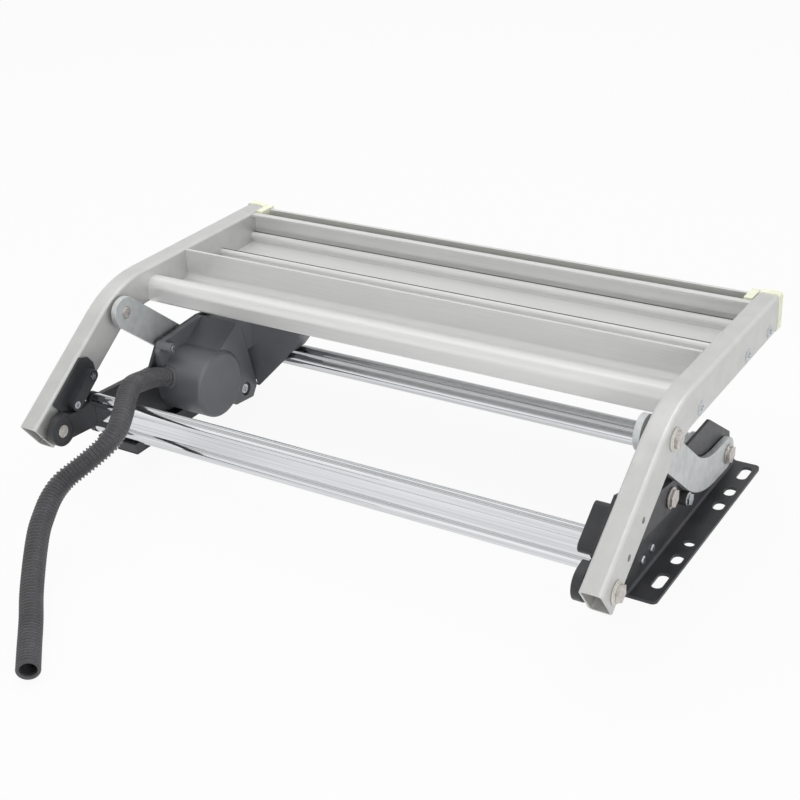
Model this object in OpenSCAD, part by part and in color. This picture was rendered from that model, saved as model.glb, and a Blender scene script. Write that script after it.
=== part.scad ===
// Folding entrance step for a caravan, lying stowed on its two mounting flanges.
// X runs along the tread, Y points out of the doorway, Z is up as the step lies here.
// Two upper links and two lower links carry the arms, a gearmotor turns the lower links.

/* [Tread] */
// Width of the tread between the arms
tread_w = 550; // [420:5:640]
// Thickness of the tread floor
floor_t = 3; // [2:0.5:4]
// Height of the tread floor's underside above the flanges
floor_z = 140; // [138:0.5:142]
// Depth of the front bar
bar_d = 22; // [18:1:24]
// Height of the front bar
bar_h = 24; // [20:1:26]
// Wall of the hollow front bar
bar_wall = 2.2; // [1.5:0.1:3]
// Thickness of the upright ribs
rib_t = 3; // [2:0.5:4]
// Height of the upright ribs above the floor's underside
rib_h = 33; // [24:1:34]
// Radius of the screw beads
bead_r = 4.6; // [4:0.1:5.5]
// Depth of the tread from the front bar to the nose
tread_d = 198; // [180:1:198]

/* [Arms] */
// Width of the arm tube
arm_w = 20; // [16:1:26]
// Height of the arm tube
arm_h = 36; // [32:1:38]
// Wall of the arm tube
arm_wall = 2; // [1.5:0.25:3]
// Corner radius of the arm tube
arm_r = 4; // [3:0.5:5]
// Slope of the lower leg in degrees
leg_slope = 35; // [33:0.5:37]
// Bend radius of the arm at its centre line
bend_r = 100; // [70:5:120]
// Length of the lower leg past its pivot
leg_tail = 14.4; // [12:0.1:18]
// Length of the end cap that shows
cap_len = 8; // [5:0.5:12]

/* [Links] */
// Thickness of the links
link_t = 6; // [4:0.5:8]
// Width of the upper link
upper_link_w = 31; // [28:0.5:31]
// Radius of the lower link at its drive end
drive_end_r = 14.4; // [12:0.2:14.5]
// Radius of the lower link at the arm
arm_end_r = 11.8; // [9:0.2:12]
// Gap between link and arm, filled by a spacer
link_gap = 3; // [2:0.5:5]
// Thickness of the nylon washers between wall and link
washer_t = 1; // [0.6:0.1:2]
// Radius of the arm pivot pins
arm_pin_r = 6; // [5:0.25:6.5]
// Radius of the wall pivot bolts
wall_pin_r = 5; // [4:0.25:6]
// Running clearance of a pin in its bore
pin_play = 0.05; // [0.02:0.01:0.1]

/* [Brackets] */
// Thickness of the bracket sheet
sheet_t = 3; // [2:0.5:4]
// Width of the flange outside the wall
flange_w = 26.4; // [24:0.2:40]
// Corner radius of the flange
flange_r = 5; // [4:1:14]
// Width of the slots
slot_w = 10; // [8:0.5:11]
// Length of the long slots
long_slot = 24; // [18:1:28]
// Length of the short slots
short_slot = 16; // [13:1:20]
// Distance of the slots from the wall's outer face
slot_off = 17.3; // [15:0.1:18]

/* [Rails] */
// Distance between the two beads of the front rail
rail_span = 27; // [22:1:30]
// Distance between the two beads of the rear rail
rear_span = 20; // [16:1:22]
// Radius of a rail bead
rail_r = 6.5; // [5.5:0.25:7]
// Thickness of the rail web
rail_web = 5; // [3:0.5:7]
// Radius of the screw ports in the rails and beads
port_r = 2; // [1.5:0.1:2.4]
// Length of the rear rail's end blocks
rail_end_len = 8; // [5:0.5:12]

/* [Motor housing] */
// Depth of the housing from the wall to the drum face
housing_d = 57; // [50:1:64]
// Radius of the drum
drum_r = 34; // [32.5:0.5:37]
// Rim radius of the drum
drum_rim = 4; // [2:0.5:5]
// Wall of the plastic housing
shell_t = 2.4; // [1.6:0.2:3]
// Reach of the rear fairing from the wall
fairing_len = 114; // [96:1:140]
// Thickness of the motor plate
plate_t = 3.5; // [2.5:0.5:5]
// Gear module
gear_m = 1.5; // [1.4:0.05:1.55]
// Face width of the gears
gear_w = 8; // [5:0.5:10]
// Radius of the motor can
can_r = 14; // [11:0.5:15]
// Radius of the output shaft
shaft_r = 6; // [5:0.25:7]

/* [Conduit] */
// Outer diameter over the ribs
hose_d = 20; // [16:0.5:20]
// Bore of the conduit
hose_bore = 14.5; // [10:0.5:14.5]
// Depth of the grooves between the ribs
rib_depth = 1.3; // [0.6:0.1:1.6]
// Number of ribs
rib_count = 120; // [60:1:130]

/* [Hidden] */

$fn = 96;
arc_fine = 40;
cut = 1;
gap = 0.3;

// Colours
silver = [0.76, 0.76, 0.75];
polished = [0.84, 0.85, 0.87];
zinc = [0.62, 0.65, 0.66];
steel = [0.66, 0.63, 0.60];
black = [0.13, 0.14, 0.15];
plastic = [0.22, 0.23, 0.25];
rubber = [0.10, 0.10, 0.10];
cream = [0.82, 0.82, 0.74];
olive = [0.36, 0.37, 0.30];
brass = [0.72, 0.60, 0.34];

// Pivots in the side plane, as [Y, Z]: arm ends of the links, then wall ends
lower_arm_pivot = [-163, 69];
upper_arm_pivot = [-57, 147];
upper_wall_pivot = [135, 31];
drive_pivot = [-2, 58];
elbow = [72, 35];
elbow_r = 100;

// Stack across the width, from the arm inwards
arm_in = tread_w / 2;
arm_out = arm_in + arm_w;
link_out = arm_in - link_gap;
link_in = link_out - link_t;
wall_out = link_in - washer_t;
wall_in = wall_out - sheet_t;

// Arm centre lines: a level leg, a bend and a sloping leg just above the pivots
level_z = floor_z + 17;
leg_lift = 5;
leg_dir = [cos(leg_slope), sin(leg_slope)];
leg_up = [-leg_dir[1], leg_dir[0]];
leg_start = lower_arm_pivot + leg_lift * leg_up;
knee_y = leg_start[0] + (level_z - leg_start[1]) / tan(leg_slope);
bend_len = bend_r * tan(leg_slope / 2);

// Tread stations along Y
bar_y0 = -14;
bar_y = bar_y0 + bar_d / 2;
bar_y1 = bar_y0 + bar_d;
plank_split_y = bar_y0 + 64.4;
rib_y = plank_split_y - rib_t - 0.4;
nose_y1 = bar_y0 + tread_d;
arm_end_y = nose_y1 - 4;
bead_ys = [nose_y1 - 79, nose_y1 - 25];
last_rib_y = nose_y1 - 20;
lip_t = 3.5;
port_z = floor_z + 9;
floor_top = floor_z + floor_t;
rib_top = floor_z + rib_h;
fillet_r = 8;
slit_dir = 80;
slit_w = 1.4;
step_y = 34;
tread_step = 0.8;
groove_d = 1.2;
trough_t = 2;
trough_z = floor_z + 17 + trough_t;
strip_h = 7;
groove_w = 3;

// Bracket wall and flange
flange_y0 = -75;
flange_y1 = 173.5;
slot_mid_y = 55;
long_slot_off = 99;
short_slot_ys = [-7.5, 90, 117.5];
round_hole_y = 20;
slot_x = wall_out + slot_off;
wall_top_z = 80;
stop_pos = [41.4, 33];
stop_pin_r = 3;
stop_bush_r = 6.4;
rest_screw_pos = [[-23, 17.5], [-42, 17]];
rest_screw_r = 2;

// Rails: the rear one lies flat between the walls, the front one stands between the links
rear_rail_pos = [76.5, 65];
front_rail_pos = [-115, 66.5];
rail_half = rail_span / 2;
rear_half = rear_span / 2;
rail_lip = 1.5;
rail_screw_len = 22;
csk_r = 4.4;
csk_h = 2.4;
rest_w = 12;
left_pad_w = 46;
right_pad_w = rest_w;
rest_top_z = front_rail_pos[1] - rail_half - rail_r - gap;

// Stop blocks, measured from the upper arm pivot towards the lower one
pivot_vec = lower_arm_pivot - upper_arm_pivot;
pivot_dir = pivot_vec / norm(pivot_vec);
stop_screw_s = [71, 103];
stop_ends = [58, 116];
boss_r = 6;
stop_base_t = link_gap - 0.5;
left_boss_in = wall_out - 0.5;
right_boss_in = wall_in - 7.5;
stop_screw_r = 1.9;

// Fasteners and caps
cap_skin = 2;
hex_h = 2.8;
arm_hex = 14;
wall_hex = 15;
nut_h = 5;
outer_washer_t = 2.4;
outer_washer_r = 10;
bead_screw_r = port_r - 0.1;
bead_screw_len = 22;
pan_h = 2;
pan_r = 4;

// Motor housing, measured inwards from the left wall
left_face = -wall_in;
plate_x = left_face + plate_t;
drum_x = left_face + housing_d;
cheek_x = drum_x - 4;
ridge = [36, 109];
seam_top = [42, 103];
seam_foot = [58, 31];
tail_foot = [50, 20];
tail_heel = [22, 23];
tail_screw = [40, 33];
tail_head_r = 5.2;
tail_recess = 4;
peg_pos = [-27, 101];
peg_r = 5;
fairing_y0 = 57.5;
fairing_y1 = 86;
fairing_top = 104;
fairing_low = 30;
fairing_end_h = 9;
fairing_x1 = left_face + fairing_len;
rail_clear_z = rear_rail_pos[1] + rail_r + 3;
rail_clear_y = rear_rail_pos[0] - rear_half - rail_r - gap;

// Gear pair: the drive gear turns with the lower links, the pinion sits on the motor
gear_teeth = 36;
pinion_teeth = 12;
backlash = 0.4;
gear_dist = gear_m * (gear_teeth + pinion_teeth) / 2 + backlash;
gear_dir = 32;
motor_pos = drive_pivot + gear_dist * [cos(gear_dir), sin(gear_dir)];
gear_x = cheek_x - shell_t - 1 - gear_w;
motor_shaft_r = 2;
can_len = gear_x - 3 - plate_x;
bush_wall = 3;
shaft_head_r = shaft_r + 4;

// Conduit: leaves the drum along a spoke, passes over the front rail and comes down to the floor
gland_dir = 157;
gland_x = left_face + 17;
gland_collar = 4;
gland_root = 5;
spoke = [cos(gland_dir), sin(gland_dir)];
gland_end = drive_pivot + (drum_r + gland_collar + gap) * spoke;
hose_r = hose_d / 2;
gland_r = hose_r + 0.8;
hose_route = [
  [gland_x, gland_end[0], gland_end[1]],
  [gland_x, gland_end[0] + hose_d * spoke[0], gland_end[1] + hose_d * spoke[1]],
  [-236, -86, 91.5], [-228, -104, 97], [-217, -122, 99], [-205, -140, 97], [-197, -155, 92.5],
  [-193, -168, 87], [-194, -179, 81], [-198, -189, 75.5], [-203, -198, 70], [-208, -208, 65],
  [-212, -218, 60.5], [-213, -229, 56], [-211, -241, 51], [-206, -254, 46], [-199, -269, 40],
  [-188, -286, 33], [-174, -305, 26], [-157, -326, 20], [-137, -348, 15], [-117, -371, 11.5],
  [-97, -393, 10.2]
];
hose_sides = 8;
bore_step = 8;

// Helpers

// Profile drawn in Y and Z, pulled along X from x0 to x1
module slab(x0, x1) {
  translate([x0, 0, 0]) rotate([90, 0, 90]) linear_extrude(x1 - x0) children();
}

// Right side as drawn, or the left side as its mirror image
module side(s) {
  if (s > 0) children();
  else mirror([1, 0, 0]) children();
}

module both_sides() {
  for (s = [1, -1]) side(s) children();
}

// Round rod along X from x0 to x1 at p = [Y, Z]
module rod(x0, x1, p, r, r_end = 0) {
  translate([x0, p[0], p[1]]) rotate([0, 90, 0])
    cylinder(h = x1 - x0, r1 = r, r2 = r_end > 0 ? r_end : r);
}

module hex_rod(x0, x1, p, across) {
  translate([x0, p[0], p[1]]) rotate([0, 90, 0]) cylinder(h = x1 - x0, d = across / cos(30), $fn = 6);
}

module tube(x0, x1, p, r, bore) {
  difference() {
    rod(x0, x1, p, r);
    rod(x0 - cut, x1 + cut, p, bore);
  }
}

// Straight bar with round ends in a plane
module bar_2d(p, q, r) {
  translate(p) circle(r);
  translate(q) circle(r);
  translate(p) rotate(atan2(q[1] - p[1], q[0] - p[0])) translate([0, -r]) square([norm(q - p), 2 * r]);
}

// Points along an arc about c
function arc(c, r, from, to) = let (n = ceil(abs(to - from) * sqrt(r) / arc_fine))
  [for (k = [0 : n]) let (a = from + (to - from) * k / n) c + r * [cos(a), sin(a)]];

// Outline of a belt round two circles
function belt(p, p_r, q, q_r) = let (
  v = q - p,
  dir = atan2(v[1], v[0]),
  open = acos((p_r - q_r) / norm(v))
) concat(arc(p, p_r, dir + open, dir - open + 360), arc(q, q_r, dir - open, dir + open));

module round_rect_2d(w, h, r) {
  polygon([for (k = [0 : 3]) let (c = [w / 2 - r, h / 2 - r], sx = [1, -1, -1, 1][k], sy = [1, 1, -1, -1][k])
    each arc([sx * c[0], sy * c[1]], r, 90 * k, 90 * k + 90)]);
}

// Countersunk screw on the right side, head flush at x and shank pointing inwards
module csk_screw(x, p, r, len) {
  difference() {
    rod(x - csk_h, x, p, r, csk_r);
    cross_cut(x, p, csk_r);
  }
  rod(x - len, x - csk_h, p, r);
}

// Cross recess in a screw head whose face is at x
module cross_cut(x, p, head_r) {
  depth = 1.2;
  for (a = [0, 90]) translate([x, p[0], p[1]]) rotate([a, 0, 0])
    cube([2 * depth, head_r * 1.1, head_r * 0.28], center = true);
}

module csk_hole(x, p, r, depth) {
  rod(x - csk_h, x + 0.02, p, r + pin_play, csk_r + pin_play);
  rod(x - depth - cut, x - csk_h + 0.02, p, r + pin_play);
}

// Pan head screw, head from x outwards on the right side, with a cross recess
module pan_screw(x, p, r, len, head_r = pan_r) {
  difference() {
    union() {
      rod(x, x + pan_h * 0.5, p, head_r);
      rod(x + pan_h * 0.5, x + pan_h, p, head_r, head_r * 0.72);
    }
    cross_cut(x + pan_h, p, head_r);
  }
  rod(x - len, x, p, r);
}

// Brackets

module wall_2d() {
  polygon([
    [flange_y0, 0], [flange_y0, 14], [-60, 30], [-18, 75], [-14, wall_top_z],
    [103, wall_top_z], [157, 42], [159, 32], [flange_y1, 10], [flange_y1, 0]
  ]);
}

module slot_2d(y, len) {
  half = (len - slot_w) / 2;
  bar_2d([slot_x, y - half], [slot_x, y + half], slot_w / 2);
}

module flange_2d() {
  x1 = wall_out + flange_w;
  difference() {
    union() {
      translate([wall_in, flange_y0]) square([x1 - wall_in - flange_r, flange_y1 - flange_y0]);
      translate([wall_in, flange_y0 + flange_r]) square([x1 - wall_in, flange_y1 - flange_y0 - 2 * flange_r]);
      for (y = [flange_y0 + flange_r, flange_y1 - flange_r]) translate([x1 - flange_r, y]) circle(flange_r);
    }
    for (s = [-1, 1]) slot_2d(slot_mid_y + s * long_slot_off, long_slot);
    for (y = short_slot_ys) slot_2d(y, short_slot);
    translate([slot_x, round_hole_y]) circle(slot_w / 2);
  }
}

// Inside bend of the folded sheet
module bend_fillet() {
  r = sheet_t;
  translate([0, flange_y1, 0]) rotate([90, 0, 0]) linear_extrude(flange_y1 - flange_y0)
    difference() {
      translate([wall_out, sheet_t]) square(r);
      translate([wall_out + r, sheet_t + r]) circle(r);
    }
}

module bracket(drive_bore) {
  difference() {
    union() {
      slab(wall_in, wall_out) wall_2d();
      linear_extrude(sheet_t) flange_2d();
      bend_fillet();
    }
    rod(wall_in - cut, wall_out + cut, upper_wall_pivot, wall_pin_r + pin_play);
    rod(wall_in - cut, wall_out + cut, drive_pivot, drive_bore);
    rod(wall_in - cut, wall_out + cut, stop_pos, stop_pin_r + pin_play);
    for (p = rest_screw_pos) rod(wall_in - cut, wall_out + cut, p, rest_screw_r + pin_play);
  }
}

module left_bracket() {
  color(black) side(-1) bracket(shaft_r + bush_wall + pin_play);
}

module right_bracket() {
  color(black) bracket(wall_pin_r + pin_play);
}

// Rails

// Two round beads joined by a web, with a screw port in each bead
module rail_2d(span) {
  difference() {
    union() {
      for (s = [-1, 1]) translate([s * span / 2, 0]) circle(rail_r);
      square([span, rail_web], center = true);
    }
    for (s = [-1, 1]) translate([s * span / 2, 0]) circle(port_r);
  }
}

module rear_rail() {
  half = wall_in - rail_end_len;
  color(polished) slab(-half, half) translate(rear_rail_pos) rail_2d(rear_span);
}

module rear_rail_ends() {
  color(zinc) both_sides() slab(wall_in - rail_end_len, wall_in) translate(rear_rail_pos) difference() {
    bar_2d([-rear_half, 0], [rear_half, 0], rail_r + rail_lip);
    for (s = [-1, 1]) translate([s * rear_half, 0]) circle(port_r + pin_play);
  }
}

module rear_rail_dowels() {
  color(steel) both_sides() for (s = [-1, 1])
    rod(wall_in - rail_screw_len, wall_in, rear_rail_pos + [s * rear_half, 0], port_r - pin_play);
}

module front_rail() {
  color(polished) slab(-link_in, link_in) translate(front_rail_pos) rotate(90) rail_2d(rail_span);
}

module front_rail_screws() {
  color(steel) both_sides() for (s = [-1, 1])
    csk_screw(link_out, front_rail_pos + [0, s * rail_half], port_r - pin_play, rail_screw_len);
}

// Plastic rests that the front rail comes down on
module rail_rest(s, pad_w) {
  y0 = front_rail_pos[0] - rail_r - 1.5;
  y1 = front_rail_pos[0] + rail_r + 1.5;
  color(plastic) side(s) difference() {
    union() {
      slab(wall_in - rest_w, wall_in)
        polygon([[-12, 9], [-12, 24.5], [-62, 27], [y1, rest_top_z], [y0, rest_top_z], [y0, rest_top_z - 10],
                 [-70, 12], [-52, 9]]);
      slab(wall_in - pad_w, wall_in - rest_w + cut) difference() {
        polygon([[y0, rest_top_z], [y0 + 2, rest_top_z - 9], [y1 - 2, rest_top_z - 9], [y1, rest_top_z]]);
        translate([front_rail_pos[0], front_rail_pos[1] - rail_half]) circle(rail_r + gap);
      }
    }
    for (p = rest_screw_pos) rod(wall_in - rest_w - cut, wall_in + cut, p, rest_screw_r + pin_play);
  }
}

module rest_screws() {
  color(steel) both_sides() for (p = rest_screw_pos)
    pan_screw(wall_out, p, rest_screw_r, sheet_t + rest_w - 2);
}

// Stow stop: a bolt with a rubber bush under each upper link's elbow
module stow_stop_bolts() {
  color(zinc) both_sides() {
    rod(wall_in, link_out - 1, stop_pos, stop_pin_r);
    rod(link_out - 1, link_out, stop_pos, stop_bush_r);
    hex_rod(link_out, link_out + 2.5, stop_pos, 10);
  }
}

module stow_stop_bushes() {
  color(rubber) both_sides() tube(wall_out, link_out - 1, stop_pos, stop_bush_r, stop_pin_r + pin_play);
}

// Pivot bolts in the walls

module wall_bolt(p) {
  rod(wall_in - cut, link_out + gap, p, wall_pin_r);
  rod(link_out + gap, link_out + 1.8, p, wall_pin_r + 4.5);
  hex_rod(link_out + 1.8, link_out + 1.8 + hex_h, p, wall_hex);
  hex_rod(wall_in - nut_h, wall_in, p, wall_hex);
}

module upper_pivot_bolts() {
  color(steel) both_sides() wall_bolt(upper_wall_pivot);
}

module lower_pivot_bolt() {
  color(steel) wall_bolt(drive_pivot);
}

module wall_washers() {
  t = washer_t - 0.1;
  color(cream) {
    both_sides() tube(wall_out, wall_out + t, upper_wall_pivot, wall_pin_r + 4, wall_pin_r + pin_play);
    tube(wall_out, wall_out + t, drive_pivot, wall_pin_r + 4, wall_pin_r + pin_play);
  }
}

// Motor housing

// Outline of the hood, drum and tail, drawn in by inset
module housing_2d(inset = 0) {
  translate(drive_pivot) circle(drum_r - inset);
  polygon([
    drive_pivot + (drum_r - inset - 3) * [cos(84), sin(84)],
    ridge - inset * [0.4, 1.3], seam_top - inset * [1.1, 0.8], seam_foot + inset * [-1.1, 0.3],
    tail_foot + inset * [-0.5, 1.1], tail_heel + inset * [0, 1.2],
    drive_pivot
  ]);
}

module plate_2d() {
  end_y = rail_clear_y - rail_lip;
  polygon([
    [-72, 42], [-72, 56], [-44, 82], [-28, 105], ridge, [60, fairing_top + 2], [fairing_y1, fairing_top - 6],
    [fairing_y1, rail_clear_z], [end_y, rail_clear_z], [end_y, 34], tail_foot, tail_heel + [0, -4],
    [-10, 26], [-20, 27]
  ]);
}

module motor_plate() {
  color(black) difference() {
    slab(left_face, plate_x) plate_2d();
    rod(left_face - cut, plate_x + cut, drive_pivot, shaft_r + bush_wall + pin_play);
    rod(left_face - cut, plate_x + cut, tail_screw, rest_screw_r + pin_play);
    rod(left_face - cut, plate_x + cut, peg_pos, rest_screw_r + pin_play);
  }
}

// Drum along X with a rounded rim
module drum(x0, x1, r, rim) {
  translate([x0, drive_pivot[0], drive_pivot[1]]) rotate([0, 90, 0]) rotate_extrude() {
    square([r, x1 - x0 - rim]);
    square([r - rim, x1 - x0]);
    translate([r - rim, x1 - x0 - rim]) intersection() {
      circle(rim);
      square(rim);
    }
  }
}

module motor_housing() {
  boss = 9;
  color(plastic) difference() {
    union() {
      slab(plate_x, cheek_x) housing_2d();
      drum(plate_x, drum_x, drum_r, drum_rim);
      rod(plate_x, plate_x + 18, peg_pos, peg_r);
      slab(plate_x, plate_x + 6) polygon([[-34, 70], [-34, 98], [-28, 105], [-20, 106], ridge, [0, 70]]);
    }
    difference() {
      union() {
        slab(plate_x - cut, cheek_x - shell_t) housing_2d(shell_t);
        drum(plate_x - cut, drum_x - shell_t, drum_r - shell_t, drum_rim - 1);
      }
      rod(plate_x, cheek_x, tail_screw, boss);
    }
    rod(plate_x - cut, cheek_x + cut, tail_screw, rest_screw_r + pin_play);
    rod(cheek_x - tail_recess, cheek_x + cut, tail_screw, tail_head_r + 1.8);
    rod(plate_x - cut, plate_x + 18 + cut, peg_pos, rest_screw_r + pin_play);
    gland_bore();
  }
}

// Places its children on the gland's spoke, pointing away from the drum
module on_spoke() {
  translate([gland_x, drive_pivot[0], drive_pivot[1]]) rotate([gland_dir - 90, 0, 0]) children();
}

module gland_bore() {
  on_spoke() translate([0, 0, drum_r - gland_root - cut])
    cylinder(h = gland_root + gland_collar + 2 * cut, r = gland_r + pin_play);
}

module fairing_2d(inset = 0) {
  foot_x = cheek_x + 0.3;
  polygon([
    [foot_x + inset, fairing_low + inset * 1.6], [foot_x + 3, fairing_low + inset * 1.6],
    [fairing_x1 - 20 - inset, rail_clear_z - 6], [fairing_x1 - inset, fairing_top - fairing_end_h],
    [fairing_x1 - inset, fairing_top - inset], [foot_x + inset, fairing_top - inset]
  ]);
}

module fairing_top_2d(inset = 0) {
  polygon([
    [fairing_y0 + inset, rail_clear_z + inset], [fairing_y0 + inset, fairing_top - inset],
    [fairing_y1 - 8 - inset * 0.4, fairing_top - inset], [fairing_y1 - inset, fairing_top - 8 - inset * 0.4],
    [fairing_y1 - inset, rail_clear_z + inset]
  ]);
}

// Profile behind the hood, with its front along the seam
module fairing_root_2d(inset = 0) {
  lean = (seam_foot[0] - seam_top[0]) / (seam_top[1] - seam_foot[1]);
  low_y = seam_top[0] + lean * (seam_top[1] - rail_clear_z) + gap;
  polygon([
    [low_y + inset, rail_clear_z + inset], [seam_top[0] + gap + inset, fairing_top - inset - 1],
    [fairing_y1 - 8 - inset * 0.4, fairing_top - inset], [fairing_y1 - inset, fairing_top - 8 - inset * 0.4],
    [fairing_y1 - inset, rail_clear_z + inset]
  ]);
}

// Outline pulled along Y from y0 to y1
module slab_y(y0, y1) {
  translate([0, y1, 0]) rotate([90, 0, 0]) linear_extrude(y1 - y0) children();
}

module rear_fairing() {
  web_t = rail_clear_y - fairing_y0;
  seam_x = cheek_x + 0.3;
  tuck_w = 14;
  tuck_z = 36;
  color(plastic) difference() {
    union() {
      slab_y(fairing_y0, fairing_y0 + web_t) {
        fairing_2d();
        translate([seam_x - tuck_w, tuck_z]) square([tuck_w + 1, rail_clear_z + shell_t - tuck_z]);
      }
      intersection() {
        slab(seam_x, fairing_x1) fairing_top_2d();
        slab_y(fairing_y0, fairing_y1) fairing_2d();
      }
      slab(plate_x, seam_x) fairing_root_2d();
    }
    intersection() {
      slab(cheek_x - cut, fairing_x1) fairing_top_2d(shell_t);
      slab_y(fairing_y0, fairing_y1) translate([-shell_t, 0]) fairing_2d(shell_t);
    }
    slab(plate_x - cut, seam_x - shell_t) fairing_root_2d(shell_t);
  }
}

module housing_screws() {
  head_x = cheek_x - tail_recess + 2.4;
  color(steel) {
    difference() {
      rod(cheek_x - tail_recess, head_x, tail_screw, tail_head_r);
      cross_cut(head_x, tail_screw, tail_head_r);
    }
    rod(left_face, cheek_x - tail_recess, tail_screw, rest_screw_r);
    rod(plate_x + 18, plate_x + 19.6, peg_pos, 3.4);
    rod(left_face, plate_x + 18, peg_pos, rest_screw_r);
  }
}

module gearmotor() {
  end = plate_x + can_len;
  color(zinc) {
    rod(plate_x, end, motor_pos, can_r);
    rod(end, end + 1.6, motor_pos, can_r * 0.45);
    rod(end, gear_x + gear_w, motor_pos, motor_shaft_r);
  }
}

module control_unit() {
  inner_y = fairing_y0 + shell_t;
  low_z = rail_clear_z + shell_t;
  color([0.16, 0.30, 0.20]) translate([cheek_x + 8, inner_y + 2, low_z]) {
    cube([fairing_len - housing_d - 28, fairing_y1 - fairing_y0 - 2 * shell_t - 4, 2]);
    for (x = [4, 18]) translate([x, 4, 2]) cube([8, 10, 8]);
  }
}

module output_bush() {
  color(cream) side(-1) tube(wall_in - plate_t, wall_out + washer_t - 0.1, drive_pivot, shaft_r + bush_wall,
                             shaft_r + pin_play);
}

module conduit_gland() {
  len = gland_root + gland_collar;
  color(black) on_spoke() translate([0, 0, drum_r - gland_root]) difference() {
    cylinder(h = len, r = gland_r);
    translate([0, 0, -cut]) cylinder(h = len + 2 * cut, r = hose_bore / 2);
  }
}

// Conduit along a smooth curve through its route

function curve_point(a, b, c, d, t) =
  0.5 * (2 * b + (c - a) * t + (2 * a - 5 * b + 4 * c - d) * t * t + (3 * b - a - 3 * c + d) * t * t * t);

function smooth(route, steps) = let (last = len(route) - 1) [
  for (i = [0 : last - 1], k = [0 : steps - 1])
    curve_point(i > 0 ? route[i - 1] : 2 * route[0] - route[1], route[i], route[i + 1],
                i < last - 1 ? route[i + 2] : 2 * route[last] - route[last - 1], k / steps),
  route[last]
];

function running_length(points, i = 0, sum = 0, out = []) =
  i == len(points) ? out :
  let (next = sum + (i > 0 ? norm(points[i] - points[i - 1]) : 0))
  running_length(points, i + 1, next, concat(out, [next]));

hose_points = smooth(hose_route, 8);
hose_lengths = running_length(hose_points);
hose_len = hose_lengths[len(hose_lengths) - 1];
hose_tables = [for (axis = [0 : 2])
  [for (i = [0 : len(hose_points) - 1]) [hose_lengths[i], hose_points[i][axis]]]];

function hose_at(s) = [for (table = hose_tables) lookup(s, table)];
function unit(v) = v / norm(v);
function hose_dir(s) = unit(hose_at(min(s + 1.5, hose_len)) - hose_at(max(s - 1.5, 0)));

function hose_ring(s, r) =
  let (c = hose_at(s), t = hose_dir(s), u = unit(cross(t, [1, 0, 0])), v = cross(t, u))
  [for (k = [0 : hose_sides - 1]) let (a = 360 * (k + 0.5) / hose_sides) c + r * (cos(a) * u + sin(a) * v)];

module conduit() {
  ring_count = 2 * rib_count + 1;
  bore_count = ceil(ring_count / bore_step) + 1;
  n = hose_sides;
  outer = [for (i = [0 : ring_count - 1])
    each hose_ring(hose_len * i / (ring_count - 1), hose_r - (i % 2 == 1 ? rib_depth : 0))];
  inner = [for (i = [0 : bore_count - 1]) each hose_ring(hose_len * i / (bore_count - 1), hose_bore / 2)];
  base = len(outer);
  top = base - n;
  inner_top = base + len(inner) - n;
  faces = [
    for (i = [0 : ring_count - 2], k = [0 : n - 1])
      let (a = i * n + k, b = i * n + (k + 1) % n) each [[a, b, b + n], [a, b + n, a + n]],
    for (i = [0 : bore_count - 2], k = [0 : n - 1])
      let (a = base + i * n + k, b = base + i * n + (k + 1) % n) each [[a, b + n, b], [a, a + n, b + n]],
    for (k = [0 : n - 1]) let (j = (k + 1) % n) each [
      [k, base + k, base + j], [k, base + j, j],
      [top + k, inner_top + j, inner_top + k], [top + k, top + j, inner_top + j]
    ]
  ];
  color(rubber) polyhedron(points = concat(outer, inner), faces = faces);
}

// Lower links, with lobes where the front rail is screwed on

module lower_link_2d() {
  v = drive_pivot - lower_arm_pivot;
  d = norm(v);
  translate(lower_arm_pivot) rotate(atan2(v[1], v[0])) {
    circle(arm_end_r);
    polygon([
      [0, -arm_end_r], [d, -drive_end_r], [d, drive_end_r], [d - 24, 17], [48, 17],
      [30, arm_end_r], [0, arm_end_r]
    ]);
    translate([d, 0]) circle(drive_end_r);
  }
  for (s = [-1, 1]) translate(front_rail_pos + [0, s * rail_half]) circle(csk_r + 3);
}

module lower_link(drive_bore) {
  difference() {
    slab(link_in, link_out) lower_link_2d();
    rod(link_in - cut, link_out + cut, lower_arm_pivot, arm_pin_r + pin_play);
    rod(link_in - cut, link_out + cut, drive_pivot, drive_bore);
    for (s = [-1, 1]) csk_hole(link_out, front_rail_pos + [0, s * rail_half], port_r, link_t);
  }
}

module left_lower_link() {
  color(black) side(-1) lower_link(shaft_r + pin_play);
}

module right_lower_link() {
  color(black) lower_link(wall_pin_r + pin_play);
}

// Drop-shaped cap that wraps the link's end round the pin
module pivot_cap(s) {
  cap_r = 14.5;
  tip = [6, 13];
  tip_r = 3;
  rim = 2;
  color(plastic) side(s) difference() {
    slab(link_in - cap_skin, link_out) translate(lower_arm_pivot) polygon(belt([0, 0], cap_r, tip, tip_r));
    slab(link_in, link_out + cut) lower_link_2d();
    rod(link_in - cap_skin - cut, link_out + cut, lower_arm_pivot, arm_pin_r + pin_play);
    slab(link_in - cap_skin - cut, link_in - cap_skin + 0.8) translate(lower_arm_pivot)
      polygon(belt([0, 0], cap_r - rim, tip, tip_r - rim));
  }
}

module left_pivot_cap() { pivot_cap(-1); }
module right_pivot_cap() { pivot_cap(1); }

module output_shaft() {
  color(steel) side(-1) {
    rod(-(gear_x + gear_w), link_out, drive_pivot, shaft_r);
    rod(link_out, link_out + 2, drive_pivot, shaft_head_r);
    hex_rod(link_out + 2, link_out + 2 + hex_h, drive_pivot, wall_hex);
  }
}

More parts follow.
